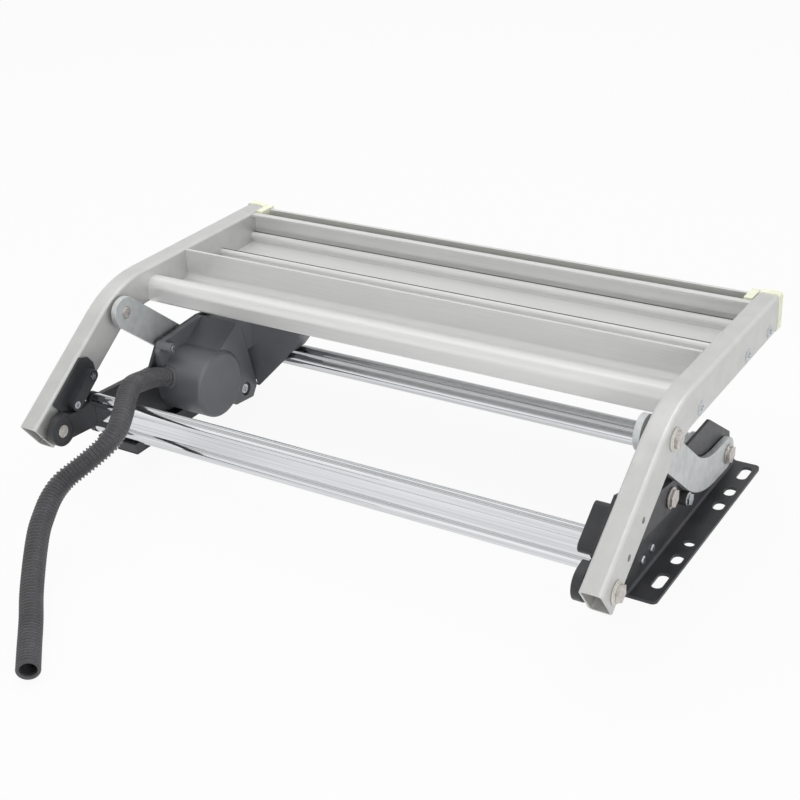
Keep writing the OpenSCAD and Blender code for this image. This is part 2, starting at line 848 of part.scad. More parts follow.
module gear_2d(teeth) {
  pitch_r = gear_m * teeth / 2;
  root_r = pitch_r - 1.3 * gear_m;
  tip_r = pitch_r + 0.9 * gear_m;
  half = 360 / teeth / 4;
  circle(root_r + 0.05);
  flank = [[root_r - 0.5, 1.35], [pitch_r, 0.8], [tip_r, 0.4]];
  for (i = [0 : teeth - 1]) rotate(360 * i / teeth) polygon([
    for (q = flank) q[0] * [cos(q[1] * half), -sin(q[1] * half)],
    for (k = [2 : -1 : 0]) flank[k][0] * [cos(flank[k][1] * half), sin(flank[k][1] * half)]
  ]);
}

module drive_gear() {
  color(brass) slab(gear_x, gear_x + gear_w) translate(drive_pivot) difference() {
    rotate(gear_dir) gear_2d(gear_teeth);
    circle(shaft_r + pin_play);
  }
}

module pinion() {
  color(brass) slab(gear_x, gear_x + gear_w) translate(motor_pos) difference() {
    rotate(gear_dir + 180 + 180 / pinion_teeth) gear_2d(pinion_teeth);
    circle(motor_shaft_r + pin_play);
  }
}

// Upper links: plates bent like a boomerang

module upper_link_2d() {
  r = upper_link_w / 2;
  v = elbow - upper_arm_pivot;
  w = upper_wall_pivot - elbow;
  a = atan2(v[1], v[0]) + 90;
  b = atan2(w[1], w[0]) + 90;
  mid = (a + b) / 2;
  bend = elbow + elbow_r / cos((b - a) / 2) * [cos(mid), sin(mid)];
  polygon(concat(
    arc(upper_arm_pivot, r, a, a + 180), arc(bend, elbow_r + r, a + 180, b + 180),
    arc(upper_wall_pivot, r, b - 180, b), arc(bend, elbow_r - r, b + 180, a + 180)
  ));
}

module upper_link(s) {
  color(zinc) side(s) difference() {
    slab(link_in, link_out) upper_link_2d();
    rod(link_in - cut, link_out + cut, upper_wall_pivot, wall_pin_r + pin_play);
    rod(link_in - cut, link_out + cut, upper_arm_pivot, arm_pin_r + pin_play);
  }
}

module left_upper_link() { upper_link(-1); }
module right_upper_link() { upper_link(1); }

module link_stubs() {
  color(steel) both_sides() {
    rod(link_in, link_out, upper_arm_pivot, arm_pin_r);
    rod(link_in - 1, link_in, upper_arm_pivot, arm_pin_r - 1);
  }
}

// Arms

// Section of the tube, or of the bend that the legs lap over by a hair
module arm_2d(tuck = 0) {
  wall = arm_wall - tuck;
  difference() {
    round_rect_2d(arm_w - 2 * tuck, arm_h - 2 * tuck, arm_r - tuck);
    round_rect_2d(arm_w - 2 * wall, arm_h - 2 * wall, arm_r - wall + 0.5);
  }
}

// Tube with its centre line along +Y from the origin
module arm_leg(len) {
  rotate([-90, 0, 0]) linear_extrude(len) arm_2d();
}

module arm_tube() {
  tuck = 0.02;
  lap = 0.6;
  mid_x = arm_in + arm_w / 2;
  level_y0 = knee_y + bend_len - lap;
  leg_len = norm([knee_y, level_z] - leg_start) - bend_len + leg_tail + lap;
  foot = leg_start - leg_tail * leg_dir;
  translate([mid_x, level_y0, level_z]) arm_leg(arm_end_y - level_y0);
  translate([mid_x, foot[0], foot[1]]) rotate([leg_slope, 0, 0]) arm_leg(leg_len);
  translate([mid_x, level_y0 + lap, level_z - bend_r]) rotate([0, -90, 0]) rotate([0, 0, -leg_slope])
    rotate_extrude(angle = leg_slope) translate([bend_r, 0]) rotate(90) arm_2d(tuck);
}

module arm(s) {
  color(silver) side(s) difference() {
    arm_tube();
    for (p = [lower_arm_pivot, upper_arm_pivot])
      rod(arm_in - cut, arm_out + cut, p, arm_pin_r + pin_play);
    for (y = concat([bar_y], bead_ys)) csk_hole(arm_out, [y, port_z], bead_screw_r, arm_w);
    for (d = stop_screw_s) {
      c = upper_arm_pivot + d * pivot_dir;
      rod(arm_in - cut, arm_in + arm_wall + cut, c, stop_screw_r + pin_play);
      rod(arm_out - arm_wall - cut, arm_out + cut, c, stop_screw_r + 1);
    }
  }
}

module left_arm() { arm(-1); }
module right_arm() { arm(1); }

// Tread planks, drawn in the side plane and pulled across the width

module bar_outline_2d(inset) {
  r = bar_d / 2 - inset;
  low_r = 3;
  top_z = floor_z + bar_h - inset;
  low_z = floor_z + inset;
  translate([bar_y, top_z - r]) circle(r);
  translate([bar_y - r, low_z + low_r]) square([2 * r, top_z - r - low_z - low_r]);
  translate([bar_y - r + low_r, low_z]) square([2 * r - low_r, low_r]);
  translate([bar_y - r + low_r, low_z + low_r]) circle(low_r);
}

module grip_grooves_2d(y0, y1) {
  pitch = 2 * groove_w + 1;
  for (y = [y0 : pitch : y1]) translate([y, floor_z - cut]) square([groove_w, groove_d + cut]);
}

module screw_bead_2d(y) {
  difference() {
    union() {
      translate([y, port_z]) circle(bead_r);
      translate([y - bead_r * 0.7, floor_z]) square([bead_r * 1.4, port_z - floor_z]);
    }
    translate([y, port_z]) circle(port_r);
    translate([y, port_z]) rotate(slit_dir) translate([0, -slit_w / 2]) square([bead_r + 1, slit_w]);
  }
}

module front_plank_2d() {
  difference() {
    bar_outline_2d(0);
    difference() {
      bar_outline_2d(bar_wall);
      translate([bar_y, port_z]) circle(bead_r);
      translate([bar_y - 1.2, floor_z]) square([2.4, port_z - floor_z]);
    }
    translate([bar_y, port_z]) circle(port_r);
  }
  difference() {
    union() {
      translate([bar_y1 - 0.5, floor_z]) square([plank_split_y - bar_y1 + 0.1, floor_t]);
      translate([step_y, floor_top - 0.01]) square([rib_y - step_y, tread_step + 0.01]);
    }
    grip_grooves_2d(bar_y1 + 3, rib_y - 6);
  }
  translate([rib_y, floor_z]) square([rib_t, rib_h]);
  difference() {
    translate([rib_y - fillet_r, floor_top]) square(fillet_r);
    translate([rib_y - fillet_r, floor_top + fillet_r]) circle(fillet_r);
  }
}

module front_plank() {
  color(silver) slab(-arm_in, arm_in) front_plank_2d();
}

module rear_plank_2d() {
  lip_top = 2.4;
  difference() {
    translate([plank_split_y, floor_z]) square([nose_y1 - plank_split_y, floor_t]);
    grip_grooves_2d(plank_split_y + 6, bead_ys[0] - 8);
    grip_grooves_2d(bead_ys[0] + 7, bead_ys[1] - 8);
  }
  for (y = bead_ys) screw_bead_2d(y);
  translate([last_rib_y, floor_z]) square([rib_t, rib_h - 1]);
  translate([last_rib_y - 4, rib_top - 1 - lip_top]) square([rib_t + 4, lip_top]);
  translate([nose_y1 - lip_t, floor_z]) square([lip_t, rib_h - 1]);
  translate([last_rib_y + rib_t - 0.5, trough_z - trough_t])
    square([nose_y1 - lip_t - last_rib_y - rib_t + 1, trough_t]);
}

module rear_plank() {
  color(silver) slab(-arm_in, arm_in) rear_plank_2d();
}

// Dark strip that lies in the trough behind the nose
module nose_strip() {
  y0 = last_rib_y + rib_t + gap;
  color(olive) slab(-arm_in + cap_len + 1, arm_in - cap_len - 1)
    translate([y0, trough_z]) square([nose_y1 - lip_t - y0 - gap, strip_h]);
}

// End caps close the arms at the nose
module end_cap(s) {
  plug_play = 0.2;
  plug_len = 12;
  side_gap = 0.05;
  lobe_z = floor_z + 6;
  lobe_top = rib_top + 1;
  proud = 1;
  lobe_y = nose_y1 + gap;
  cap_y = arm_end_y + cap_len;
  bridge_z = rib_top - 1 + gap;
  well_y0 = last_rib_y + rib_t + gap;
  well_y1 = nose_y1 - lip_t - gap;
  well_z = trough_z + gap;
  mid_x = arm_in + arm_w / 2;
  inner_w = arm_w - 2 * arm_wall - 2 * plug_play;
  inner_h = arm_h - 2 * arm_wall - 2 * plug_play;
  color(cream) side(s) difference() {
    union() {
      translate([mid_x + proud / 2, arm_end_y, level_z + proud / 2]) rotate([-90, 0, 0])
        linear_extrude(cap_len) round_rect_2d(arm_w + proud, arm_h + proud, arm_r);
      translate([mid_x, arm_end_y - plug_len, level_z]) rotate([-90, 0, 0]) linear_extrude(plug_len + cut)
        round_rect_2d(inner_w, inner_h, arm_r - arm_wall);
      slab(arm_in - cap_len, arm_in - side_gap) polygon([
        [well_y0, well_z], [well_y1, well_z], [well_y1, bridge_z], [lobe_y, bridge_z], [lobe_y, lobe_z],
        [cap_y, lobe_z], [cap_y, lobe_top], [well_y0, lobe_top]
      ]);
      slab(arm_in - cut, arm_in + cut) translate([lobe_y + gap, lobe_z + cut])
        square([cap_y - lobe_y - 2 * gap, bridge_z - lobe_z - 2 * cut]);
    }
    translate([mid_x, arm_end_y - plug_len - cut, level_z]) rotate([-90, 0, 0]) linear_extrude(plug_len)
      round_rect_2d(inner_w - 4, inner_h - 4, 2);
  }
}

module left_end_cap() { end_cap(-1); }
module right_end_cap() { end_cap(1); }

// Stop blocks: the upper links meet their bosses when the step is fully out
function boss_in(s) = s < 0 ? left_boss_in : right_boss_in;

module stop_block(s) {
  p = upper_arm_pivot + stop_screw_s[0] * pivot_dir;
  q = upper_arm_pivot + stop_screw_s[1] * pivot_dir;
  a = atan2(pivot_dir[1], pivot_dir[0]);
  base_h = 26;
  head_depth = 2;
  color(plastic) side(s) difference() {
    union() {
      slab(arm_in - stop_base_t, arm_in) translate(upper_arm_pivot) rotate(a)
        translate([0, -base_h + boss_r + 1]) polygon([
          [stop_ends[0] + 6, 0], [stop_ends[1], 0], [stop_ends[1], base_h], [stop_ends[0] + 4, base_h],
          [stop_ends[0], base_h - 8], [stop_ends[0], 8]
        ]);
      slab(boss_in(s), arm_in - stop_base_t + 0.5) polygon(belt(p, boss_r, q, boss_r));
    }
    for (c = [p, q]) {
      rod(boss_in(s) - cut, arm_in + cut, c, stop_screw_r + pin_play);
      rod(boss_in(s) - cut, boss_in(s) + head_depth, c, pan_r);
    }
  }
}

module left_stop_block() { stop_block(-1); }
module right_stop_block() { stop_block(1); }

module stop_screws() {
  head_h = 2;
  color(steel) for (s = [-1, 1], d = stop_screw_s) {
    c = upper_arm_pivot + d * pivot_dir;
    side(s) {
      difference() {
        rod(boss_in(s), boss_in(s) + head_h, c, pan_r - 0.4);
        cross_cut(boss_in(s), c, pan_r);
      }
      rod(boss_in(s) + head_h, arm_out - arm_wall, c, stop_screw_r);
    }
  }
}

module tread_screws() {
  color(steel) both_sides() for (y = concat([bar_y], bead_ys))
    csk_screw(arm_out, [y, port_z], bead_screw_r, arm_w + bead_screw_len);
}

// Bolts, washers and spacers of the arms

module arm_bolt(p, x_end) {
  head_x = arm_out + outer_washer_t;
  rod(x_end, head_x, p, arm_pin_r);
  hex_rod(head_x, head_x + hex_h, p, arm_hex);
}

module lower_arm_bolts() {
  color(steel) both_sides() arm_bolt(lower_arm_pivot, link_in - cap_skin + 0.4);
}

module upper_arm_bolts() {
  color(steel) both_sides() arm_bolt(upper_arm_pivot, link_out + 0.5);
}

module arm_washers() {
  t = outer_washer_t / 2;
  color(cream) both_sides() for (p = [lower_arm_pivot, upper_arm_pivot]) {
    difference() {
      union() {
        rod(arm_out, arm_out + t, p, outer_washer_r);
        rod(arm_out + t, arm_out + 2 * t, p, outer_washer_r - 1.2);
      }
      rod(arm_out - cut, arm_out + 2 * t + cut, p, arm_pin_r + pin_play);
    }
  }
}

module arm_spacers() {
  color(cream) both_sides() for (p = [lower_arm_pivot, upper_arm_pivot])
    tube(link_out + 0.5, arm_in, p, outer_washer_r, arm_pin_r + pin_play);
}

left_bracket();
right_bracket();
rear_rail();
rear_rail_ends();
rear_rail_dowels();
rail_rest(-1, left_pad_w);  // left_rail_rest
rail_rest(1, right_pad_w);  // right_rail_rest
rest_screws();
stow_stop_bolts();
stow_stop_bushes();
upper_pivot_bolts();
lower_pivot_bolt();
wall_washers();
motor_plate();
motor_housing();
rear_fairing();
housing_screws();
gearmotor();
control_unit();
output_bush();
conduit_gland();
conduit();
left_lower_link();
right_lower_link();
front_rail();
front_rail_screws();
left_pivot_cap();
right_pivot_cap();
output_shaft();
drive_gear();
pinion();
left_upper_link();
right_upper_link();
link_stubs();
left_arm();
right_arm();
front_plank();
rear_plank();
nose_strip();
left_end_cap();
right_end_cap();
left_stop_block();
right_stop_block();
stop_screws();
tread_screws();
lower_arm_bolts();
upper_arm_bolts();
arm_washers();
arm_spacers();
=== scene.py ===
"""Looks of a folding caravan step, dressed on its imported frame. Lengths are in metres."""

import math

import bmesh
import bpy
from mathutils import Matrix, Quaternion, Vector


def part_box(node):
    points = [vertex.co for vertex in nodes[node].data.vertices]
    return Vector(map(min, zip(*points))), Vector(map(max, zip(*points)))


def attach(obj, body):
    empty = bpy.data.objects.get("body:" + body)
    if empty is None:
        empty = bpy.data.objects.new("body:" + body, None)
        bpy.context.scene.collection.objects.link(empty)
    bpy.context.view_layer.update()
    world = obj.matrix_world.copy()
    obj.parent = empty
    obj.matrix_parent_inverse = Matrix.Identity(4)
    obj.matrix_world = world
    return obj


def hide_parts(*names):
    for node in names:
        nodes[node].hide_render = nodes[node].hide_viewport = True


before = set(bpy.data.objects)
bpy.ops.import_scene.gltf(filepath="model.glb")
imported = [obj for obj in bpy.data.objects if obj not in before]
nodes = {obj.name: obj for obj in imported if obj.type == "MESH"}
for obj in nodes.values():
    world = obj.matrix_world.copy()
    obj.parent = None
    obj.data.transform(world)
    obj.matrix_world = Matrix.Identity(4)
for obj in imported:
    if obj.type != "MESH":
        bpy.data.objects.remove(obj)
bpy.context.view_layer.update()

MM = 0.001


def add_object(name, data):
    """A new object in the scene for a mesh, a lamp or a camera."""
    thing = bpy.data.objects.new(name, data)
    bpy.context.scene.collection.objects.link(thing)
    return thing


# Camera at the photograph's place

CAMERA_PLACE = Vector((0.66095, -0.999, 0.70507))
CAMERA_YAW = math.radians(33.291)
CAMERA_PITCH = math.radians(27.389)
CAMERA_ROLL = math.radians(-3.245)
CAMERA_LENS = 65.82
CAMERA_SENSOR = 36
CAMERA_SHIFT_Y = 0.0025
CAMERA_NEAR = 0.01
CAMERA_FAR = 50


def make_camera():
    data = bpy.data.cameras.new("camera")
    data.lens = CAMERA_LENS
    data.sensor_width = CAMERA_SENSOR
    data.shift_y = CAMERA_SHIFT_Y
    data.clip_start = CAMERA_NEAR
    data.clip_end = CAMERA_FAR
    camera = add_object("camera", data)
    flat = math.cos(CAMERA_PITCH)
    forward = Vector((-math.sin(CAMERA_YAW) * flat, math.cos(CAMERA_YAW) * flat, -math.sin(CAMERA_PITCH)))
    camera.rotation_mode = "QUATERNION"
    camera.rotation_quaternion = forward.to_track_quat("-Z", "Y") @ Quaternion((0, 0, 1), CAMERA_ROLL)
    camera.location = CAMERA_PLACE
    bpy.context.scene.camera = camera


make_camera()

# Node helpers for the materials

NOISE_LOW = 0.3
NOISE_HIGH = 0.7


def new_material(name, colour, roughness, metallic=0.0):
    """A material with its node tree and its shader, at plain starting values."""
    material = bpy.data.materials.new(name)
    material.use_nodes = True
    shader = material.node_tree.nodes["Principled BSDF"]
    shader.inputs["Base Color"].default_value = (*colour, 1)
    shader.inputs["Roughness"].default_value = roughness
    shader.inputs["Metallic"].default_value = metallic
    return material, material.node_tree, shader


def math_node(tree, operation, first, second):
    node = tree.nodes.new("ShaderNodeMath")
    node.operation = operation
    for value, socket in zip((first, second), node.inputs):
        if isinstance(value, float):
            socket.default_value = value
        else:
            tree.links.new(value, socket)
    return node.outputs["Value"]


def within(tree, value, middle, reach):
    """1 where a value is no further than reach from the middle, else 0."""
    offset = math_node(tree, "ABSOLUTE", math_node(tree, "SUBTRACT", value, middle), 0.0)
    return math_node(tree, "LESS_THAN", offset, reach)


def noise(tree, cells, detail, stretch=(1, 1, 1)):
    """Noise in the part's own coordinates, with so many cells per metre."""
    coordinates = tree.nodes.new("ShaderNodeTexCoord")
    mapping = tree.nodes.new("ShaderNodeMapping")
    mapping.inputs["Scale"].default_value = stretch
    texture = tree.nodes.new("ShaderNodeTexNoise")
    texture.inputs["Scale"].default_value = cells
    texture.inputs["Detail"].default_value = detail
    tree.links.new(coordinates.outputs["Object"], mapping.inputs["Vector"])
    tree.links.new(mapping.outputs["Vector"], texture.inputs["Vector"])
    return texture.outputs["Fac"]


def vary_colour(tree, shader, dark, light, start=0.35, end=0.65, **grain):
    ramp = tree.nodes.new("ShaderNodeValToRGB")
    ramp.color_ramp.elements[0].position = start
    ramp.color_ramp.elements[0].color = (*dark, 1)
    ramp.color_ramp.elements[1].position = end
    ramp.color_ramp.elements[1].color = (*light, 1)
    tree.links.new(noise(tree, **grain), ramp.inputs["Fac"])
    tree.links.new(ramp.outputs["Color"], shader.inputs["Base Color"])


def vary_roughness(tree, shader, low, high, **grain):
    spread = tree.nodes.new("ShaderNodeMapRange")
    spread.inputs["From Min"].default_value = NOISE_LOW
    spread.inputs["From Max"].default_value = NOISE_HIGH
    spread.inputs["To Min"].default_value = low
    spread.inputs["To Max"].default_value = high
    tree.links.new(noise(tree, **grain), spread.inputs["Value"])
    tree.links.new(spread.outputs["Result"], shader.inputs["Roughness"])


def add_bump(tree, shader, depth, **grain):
    bump = tree.nodes.new("ShaderNodeBump")
    bump.inputs["Strength"].default_value = 1.0
    bump.inputs["Distance"].default_value = depth
    tree.links.new(noise(tree, **grain), bump.inputs["Height"])
    tree.links.new(bump.outputs["Normal"], shader.inputs["Normal"])


def make_finish(name, colour, roughness, metallic=0.0, sockets=None, tint=None, gloss=None, bump=None):
    """A material whose colour, roughness and surface each vary with a noise of their own."""
    material, tree, shader = new_material(name, colour, roughness, metallic)
    for socket, value in (sockets or {}).items():
        shader.inputs[socket].default_value = value
    if tint:
        vary_colour(tree, shader, **tint)
    if gloss:
        vary_roughness(tree, shader, **gloss)
    if bump:
        add_bump(tree, shader, **bump)
    return material


# Materials by name, with the noise that each one's tint, gloss and bump follow

DRAWN = (0.02, 1, 1)
RAIL_DRAWN = (0.01, 1, 1)
RAIL_PATCHES = (0.3, 1, 1)

FINISHES = {
    # Bent tube, anodised after a fine blast, so its grain runs no way
    "anodised_arm": dict(
        colour=(0.63, 0.63, 0.62), roughness=0.46, metallic=0.8,
        tint=dict(cells=60, detail=4, dark=(0.61, 0.61, 0.60), light=(0.65, 0.65, 0.64)),
        gloss=dict(cells=1600, detail=2, low=0.42, high=0.52),
        bump=dict(cells=1600, detail=2, depth=0.03 * MM),
    ),
    # Extruded and anodised: fine drawn lines along X over a satin grain
    "anodised_plank": dict(
        colour=(0.74, 0.74, 0.73), roughness=0.34, metallic=0.55,
        tint=dict(
            cells=900, detail=2, stretch=DRAWN, dark=(0.725, 0.725, 0.715), light=(0.755, 0.755, 0.745),
        ),
        gloss=dict(cells=260, detail=3, stretch=DRAWN, low=0.32, high=0.36),
        bump=dict(cells=900, detail=2, stretch=DRAWN, depth=0.001 * MM),
    ),
    # Polished extrusion: its lighter and darker streaks along X are partly drawn lines and partly painted
    # reflection streaks
    "polished_rail": dict(
        colour=(0.79, 0.80, 0.82), roughness=0.08, metallic=1.0,
        tint=dict(
            cells=500, detail=3, stretch=RAIL_DRAWN, dark=(0.68, 0.69, 0.71), light=(0.84, 0.85, 0.87),
        ),
        gloss=dict(cells=40, detail=3, stretch=RAIL_PATCHES, low=0.06, high=0.11),
        bump=dict(cells=500, detail=3, stretch=RAIL_DRAWN, depth=0.002 * MM),
    ),
    # Dull zinc with the cloudy mottle of a plated sheet
    "zinc_plate": dict(
        colour=(0.6, 0.62, 0.62), roughness=0.5, metallic=0.75,
        tint=dict(cells=120, detail=6, start=0.3, end=0.7, dark=(0.55, 0.57, 0.57), light=(0.66, 0.68, 0.68)),
        gloss=dict(cells=220, detail=4, low=0.4, high=0.58),
        bump=dict(cells=700, detail=3, depth=0.05 * MM),
    ),
    # Black powder coat with a faint orange peel
    "powder_coat": dict(
        colour=(0.032, 0.033, 0.037), roughness=0.42,
        tint=dict(cells=40, detail=4, dark=(0.028, 0.029, 0.033), light=(0.042, 0.043, 0.048)),
        gloss=dict(cells=90, detail=3, low=0.36, high=0.46),
        bump=dict(cells=650, detail=2, depth=0.05 * MM),
    ),
    # Dark grey moulding with a fine spark grain
    "housing_plastic": dict(
        colour=(0.13, 0.134, 0.148), roughness=0.4, sockets={"Specular IOR Level": 0.8},
        tint=dict(cells=30, detail=4, dark=(0.121, 0.125, 0.138), light=(0.140, 0.144, 0.158)),
        gloss=dict(cells=160, detail=3, low=0.36, high=0.44),
        bump=dict(cells=1500, detail=2, depth=0.05 * MM),
    ),
    # Black moulding of the stops, caps and rests
    "black_plastic": dict(
        colour=(0.03, 0.031, 0.035), roughness=0.36,
        tint=dict(cells=40, detail=4, dark=(0.026, 0.027, 0.031), light=(0.036, 0.037, 0.041)),
        gloss=dict(cells=160, detail=3, low=0.32, high=0.42),
        bump=dict(cells=1500, detail=2, depth=0.04 * MM),
    ),
    "nylon": dict(
        colour=(0.77, 0.78, 0.63), roughness=0.42,
        sockets={"Subsurface Weight": 0.15, "Subsurface Radius": (4 * MM, 4 * MM, 3 * MM)},
        tint=dict(cells=90, detail=3, dark=(0.73, 0.74, 0.58), light=(0.81, 0.82, 0.68)),
        gloss=dict(cells=300, detail=2, low=0.36, high=0.48),
        bump=dict(cells=900, detail=2, depth=0.03 * MM),
    ),
    # Greyer nylon of the washers at the pivots
    "washer_nylon": dict(
        colour=(0.49, 0.48, 0.44), roughness=0.45,
        tint=dict(cells=90, detail=3, dark=(0.45, 0.44, 0.40), light=(0.53, 0.52, 0.48)),
        gloss=dict(cells=300, detail=2, low=0.4, high=0.5),
        bump=dict(cells=900, detail=2, depth=0.03 * MM),
    ),
    "fastener_steel": dict(
        colour=(0.62, 0.58, 0.55), roughness=0.32, metallic=1.0,
        tint=dict(cells=250, detail=4, dark=(0.52, 0.48, 0.46), light=(0.70, 0.67, 0.64)),
        gloss=dict(cells=400, detail=3, low=0.24, high=0.42),
        bump=dict(cells=1200, detail=2, depth=0.03 * MM),
    ),
    # Bright plated screws and stop bolts
    "bright_zinc": dict(
        colour=(0.56, 0.58, 0.60), roughness=0.25, metallic=1.0,
        tint=dict(cells=300, detail=3, dark=(0.48, 0.50, 0.52), light=(0.64, 0.66, 0.68)),
        gloss=dict(cells=500, detail=2, low=0.18, high=0.34),
    ),
    # Black tube plastic with a faint blue tint
    "conduit_plastic": dict(
        colour=(0.055, 0.055, 0.0594), roughness=0.28, sockets={"Specular IOR Level": 0.6},
        tint=dict(cells=50, detail=3, dark=(0.044, 0.044, 0.04752), light=(0.066, 0.066, 0.07128)),
        gloss=dict(cells=120, detail=3, low=0.22, high=0.34),
    ),
    "rubber": dict(
        colour=(0.03, 0.03, 0.03), roughness=0.6,
        tint=dict(cells=80, detail=3, dark=(0.024, 0.024, 0.024), light=(0.04, 0.04, 0.039)),
        bump=dict(cells=900, detail=2, depth=0.06 * MM),
    ),
    "olive_strip": dict(
        colour=(0.13, 0.133, 0.11), roughness=0.55,
        tint=dict(cells=200, detail=3, stretch=DRAWN, dark=(0.11, 0.114, 0.094), light=(0.155, 0.16, 0.13)),
        bump=dict(cells=900, detail=2, stretch=DRAWN, depth=0.05 * MM),
    ),
    "gear_brass": dict(
        colour=(0.72, 0.55, 0.25), roughness=0.3, metallic=1.0,
        tint=dict(cells=200, detail=3, dark=(0.64, 0.48, 0.21), light=(0.78, 0.61, 0.29)),
        gloss=dict(cells=500, detail=2, low=0.24, high=0.38),
    ),
    "circuit_board": dict(
        colour=(0.03, 0.13, 0.06), roughness=0.35,
        tint=dict(cells=400, detail=3, dark=(0.02, 0.10, 0.045), light=(0.04, 0.16, 0.08)),
    ),
}
finishes = {name: make_finish(name, **values) for name, values in FINISHES.items()}

# Painted shade in the open slits along the tops of the two screw beads, spread a little onto the rim in front
# of each slit

PLANK_BACK_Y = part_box("rear_plank")[1][1]
BEAD_SETBACKS = (79 * MM, 25 * MM)
BEAD_PLACES = [PLANK_BACK_Y - setback for setback in BEAD_SETBACKS]
SLIT_LEAN = 0.5 * MM
SLIT_HALF = 1.1 * MM
SLIT_Z = 153 * MM
SLIT_DEPTH = 1.5 * MM
# Colour of the painted shade in the bead slits
SLIT_SHADE_COLOUR = (0.05, 0.05, 0.05, 1)


def paint_slit_shade(material):
    tree = material.node_tree
    base = tree.nodes["Principled BSDF"].inputs["Base Color"]
    place = tree.nodes.new("ShaderNodeSeparateXYZ")
    tree.links.new(tree.nodes.new("ShaderNodeTexCoord").outputs["Object"], place.inputs["Vector"])
    near = [within(tree, place.outputs["Y"], bead + SLIT_LEAN, SLIT_HALF) for bead in BEAD_PLACES]
    on_top = within(tree, place.outputs["Z"], SLIT_Z, SLIT_DEPTH)
    in_slit = math_node(tree, "MULTIPLY", math_node(tree, "MAXIMUM", *near), on_top)
    # Lays the painted slit shade over the plank's own colour where the mask is 1
    mix = tree.nodes.new("ShaderNodeMix")
    mix.data_type = "RGBA"
    tree.links.new(in_slit, mix.inputs["Factor"])
    tree.links.new(base.links[0].from_socket, mix.inputs["A"])
    mix.inputs["B"].default_value = SLIT_SHADE_COLOUR
    tree.links.new(mix.outputs["Result"], base)


paint_slit_shade(finishes["anodised_plank"])

# Materials on the nodes

FINISHED_NODES = {
    "anodised_arm": ["left_arm", "right_arm"],
    "anodised_plank": ["front_plank", "rear_plank"],
    "polished_rail": ["rear_rail", "front_rail"],
    "zinc_plate": ["left_upper_link", "right_upper_link", "rear_rail_ends", "gearmotor"],
    "powder_coat": ["left_bracket", "right_bracket", "left_lower_link", "right_lower_link", "motor_plate"],
    "housing_plastic": ["motor_housing", "rear_fairing", "conduit_gland"],
    "black_plastic": [
        "left_stop_block", "right_stop_block", "left_pivot_cap", "right_pivot_cap", "left_rail_rest",
        "right_rail_rest",
    ],
    "nylon": ["left_end_cap", "right_end_cap", "output_bush"],
    "washer_nylon": ["arm_washers", "arm_spacers", "wall_washers"],
    "fastener_steel": [
        "upper_pivot_bolts", "lower_pivot_bolt", "lower_arm_bolts", "upper_arm_bolts", "link_stubs",
        "output_shaft", "rear_rail_dowels", "front_rail_screws",
    ],
    "bright_zinc": ["rest_screws", "housing_screws", "stop_screws", "tread_screws", "stow_stop_bolts"],
    "rubber": ["stow_stop_bushes"],
    "olive_strip": ["nose_strip"],
    "gear_brass": ["drive_gear", "pinion"],
    "circuit_board": ["control_unit"],
}


def paint(thing, material):
    """One material all over a thing, in place of those that it has."""
    thing.data.materials.clear()
    thing.data.materials.append(material)


for finish, names in FINISHED_NODES.items():
    for name in names:
        paint(nodes[name], finishes[finish])

# Rounded edges on the solid nodes

SOFT_EDGE = 0.4 * MM
EDGE_WIDTHS = {
    "front_plank": 0.15 * MM,
    "rear_plank": 0.15 * MM,
    "motor_housing": 0.5 * MM,
    "rear_fairing": 0.5 * MM,
    "left_pivot_cap": 0.2 * MM,
    "right_pivot_cap": 0.2 * MM,
}
EDGE_ANGLE = math.radians(32)
FLAT_ANGLE = math.radians(0.5)
WELD_REACH = 0.001 * MM


def round_edges(thing, width):
    """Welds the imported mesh, rounds its sharp edges and keeps its flats flat."""
    weld = thing.modifiers.new("weld", "WELD")
    weld.merge_threshold = WELD_REACH
    flats = thing.modifiers.new("flats", "DECIMATE")
    flats.decimate_type = "DISSOLVE"
    flats.angle_limit = FLAT_ANGLE
    bevel = thing.modifiers.new("edges", "BEVEL")
    bevel.width = width
    bevel.segments = 2
    bevel.limit_method = "ANGLE"
    bevel.angle_limit = EDGE_ANGLE
    bevel.use_clamp_overlap = True
    normals = thing.modifiers.new("normals", "WEIGHTED_NORMAL")
    normals.keep_sharp = False


for name, thing in nodes.items():
    if name != "conduit":
        round_edges(thing, EDGE_WIDTHS.get(name, SOFT_EDGE))

# Conduit: ribbed tube along the same route as its solid, whose points are in millimetres

HOSE_D = 20 * MM
HOSE_BORE = 14.5 * MM
HOSE_RIBS = 120
HOSE_SIDES = 40
BORE_RINGS = 2 * HOSE_RIBS // 3
RIB_DEPTH = 1.5 * MM
RIB_SHAPE = ((0.0, 1.0), (0.25, 1.0), (0.36, 0.3), (0.46, 0.0), (0.64, 0.0), (0.74, 0.3), (0.85, 1.0))
GLAND_X = -245
GLAND_DIR = math.radians(157)
DRIVE_PIVOT = Vector((-2, 58))
HOSE_START_R = 38.3
HOSE_STRAIGHT = 20
PATH_STEPS = 8
PATH_PROBE = 1.5 * MM


def on_spoke(radius):
    """Point on the spoke along which the conduit leaves the drum."""
    point = DRIVE_PIVOT + radius * Vector((math.cos(GLAND_DIR), math.sin(GLAND_DIR)))
    return GLAND_X, point.x, point.y


HOSE_ROUTE = [
    on_spoke(HOSE_START_R), on_spoke(HOSE_START_R + HOSE_STRAIGHT),
    (-236, -86, 91.5), (-228, -104, 97), (-217, -122, 99), (-205, -140, 97), (-197, -155, 92.5),
    (-193, -168, 87), (-194, -179, 81), (-198, -189, 75.5), (-203, -198, 70), (-208, -208, 65),
    (-212, -218, 60.5), (-213, -229, 56), (-211, -241, 51), (-206, -254, 46), (-199, -269, 40),
    (-188, -286, 33), (-174, -305, 26), (-157, -326, 20), (-137, -348, 15), (-117, -371, 11.5),
    (-97, -393, 10.2),
]


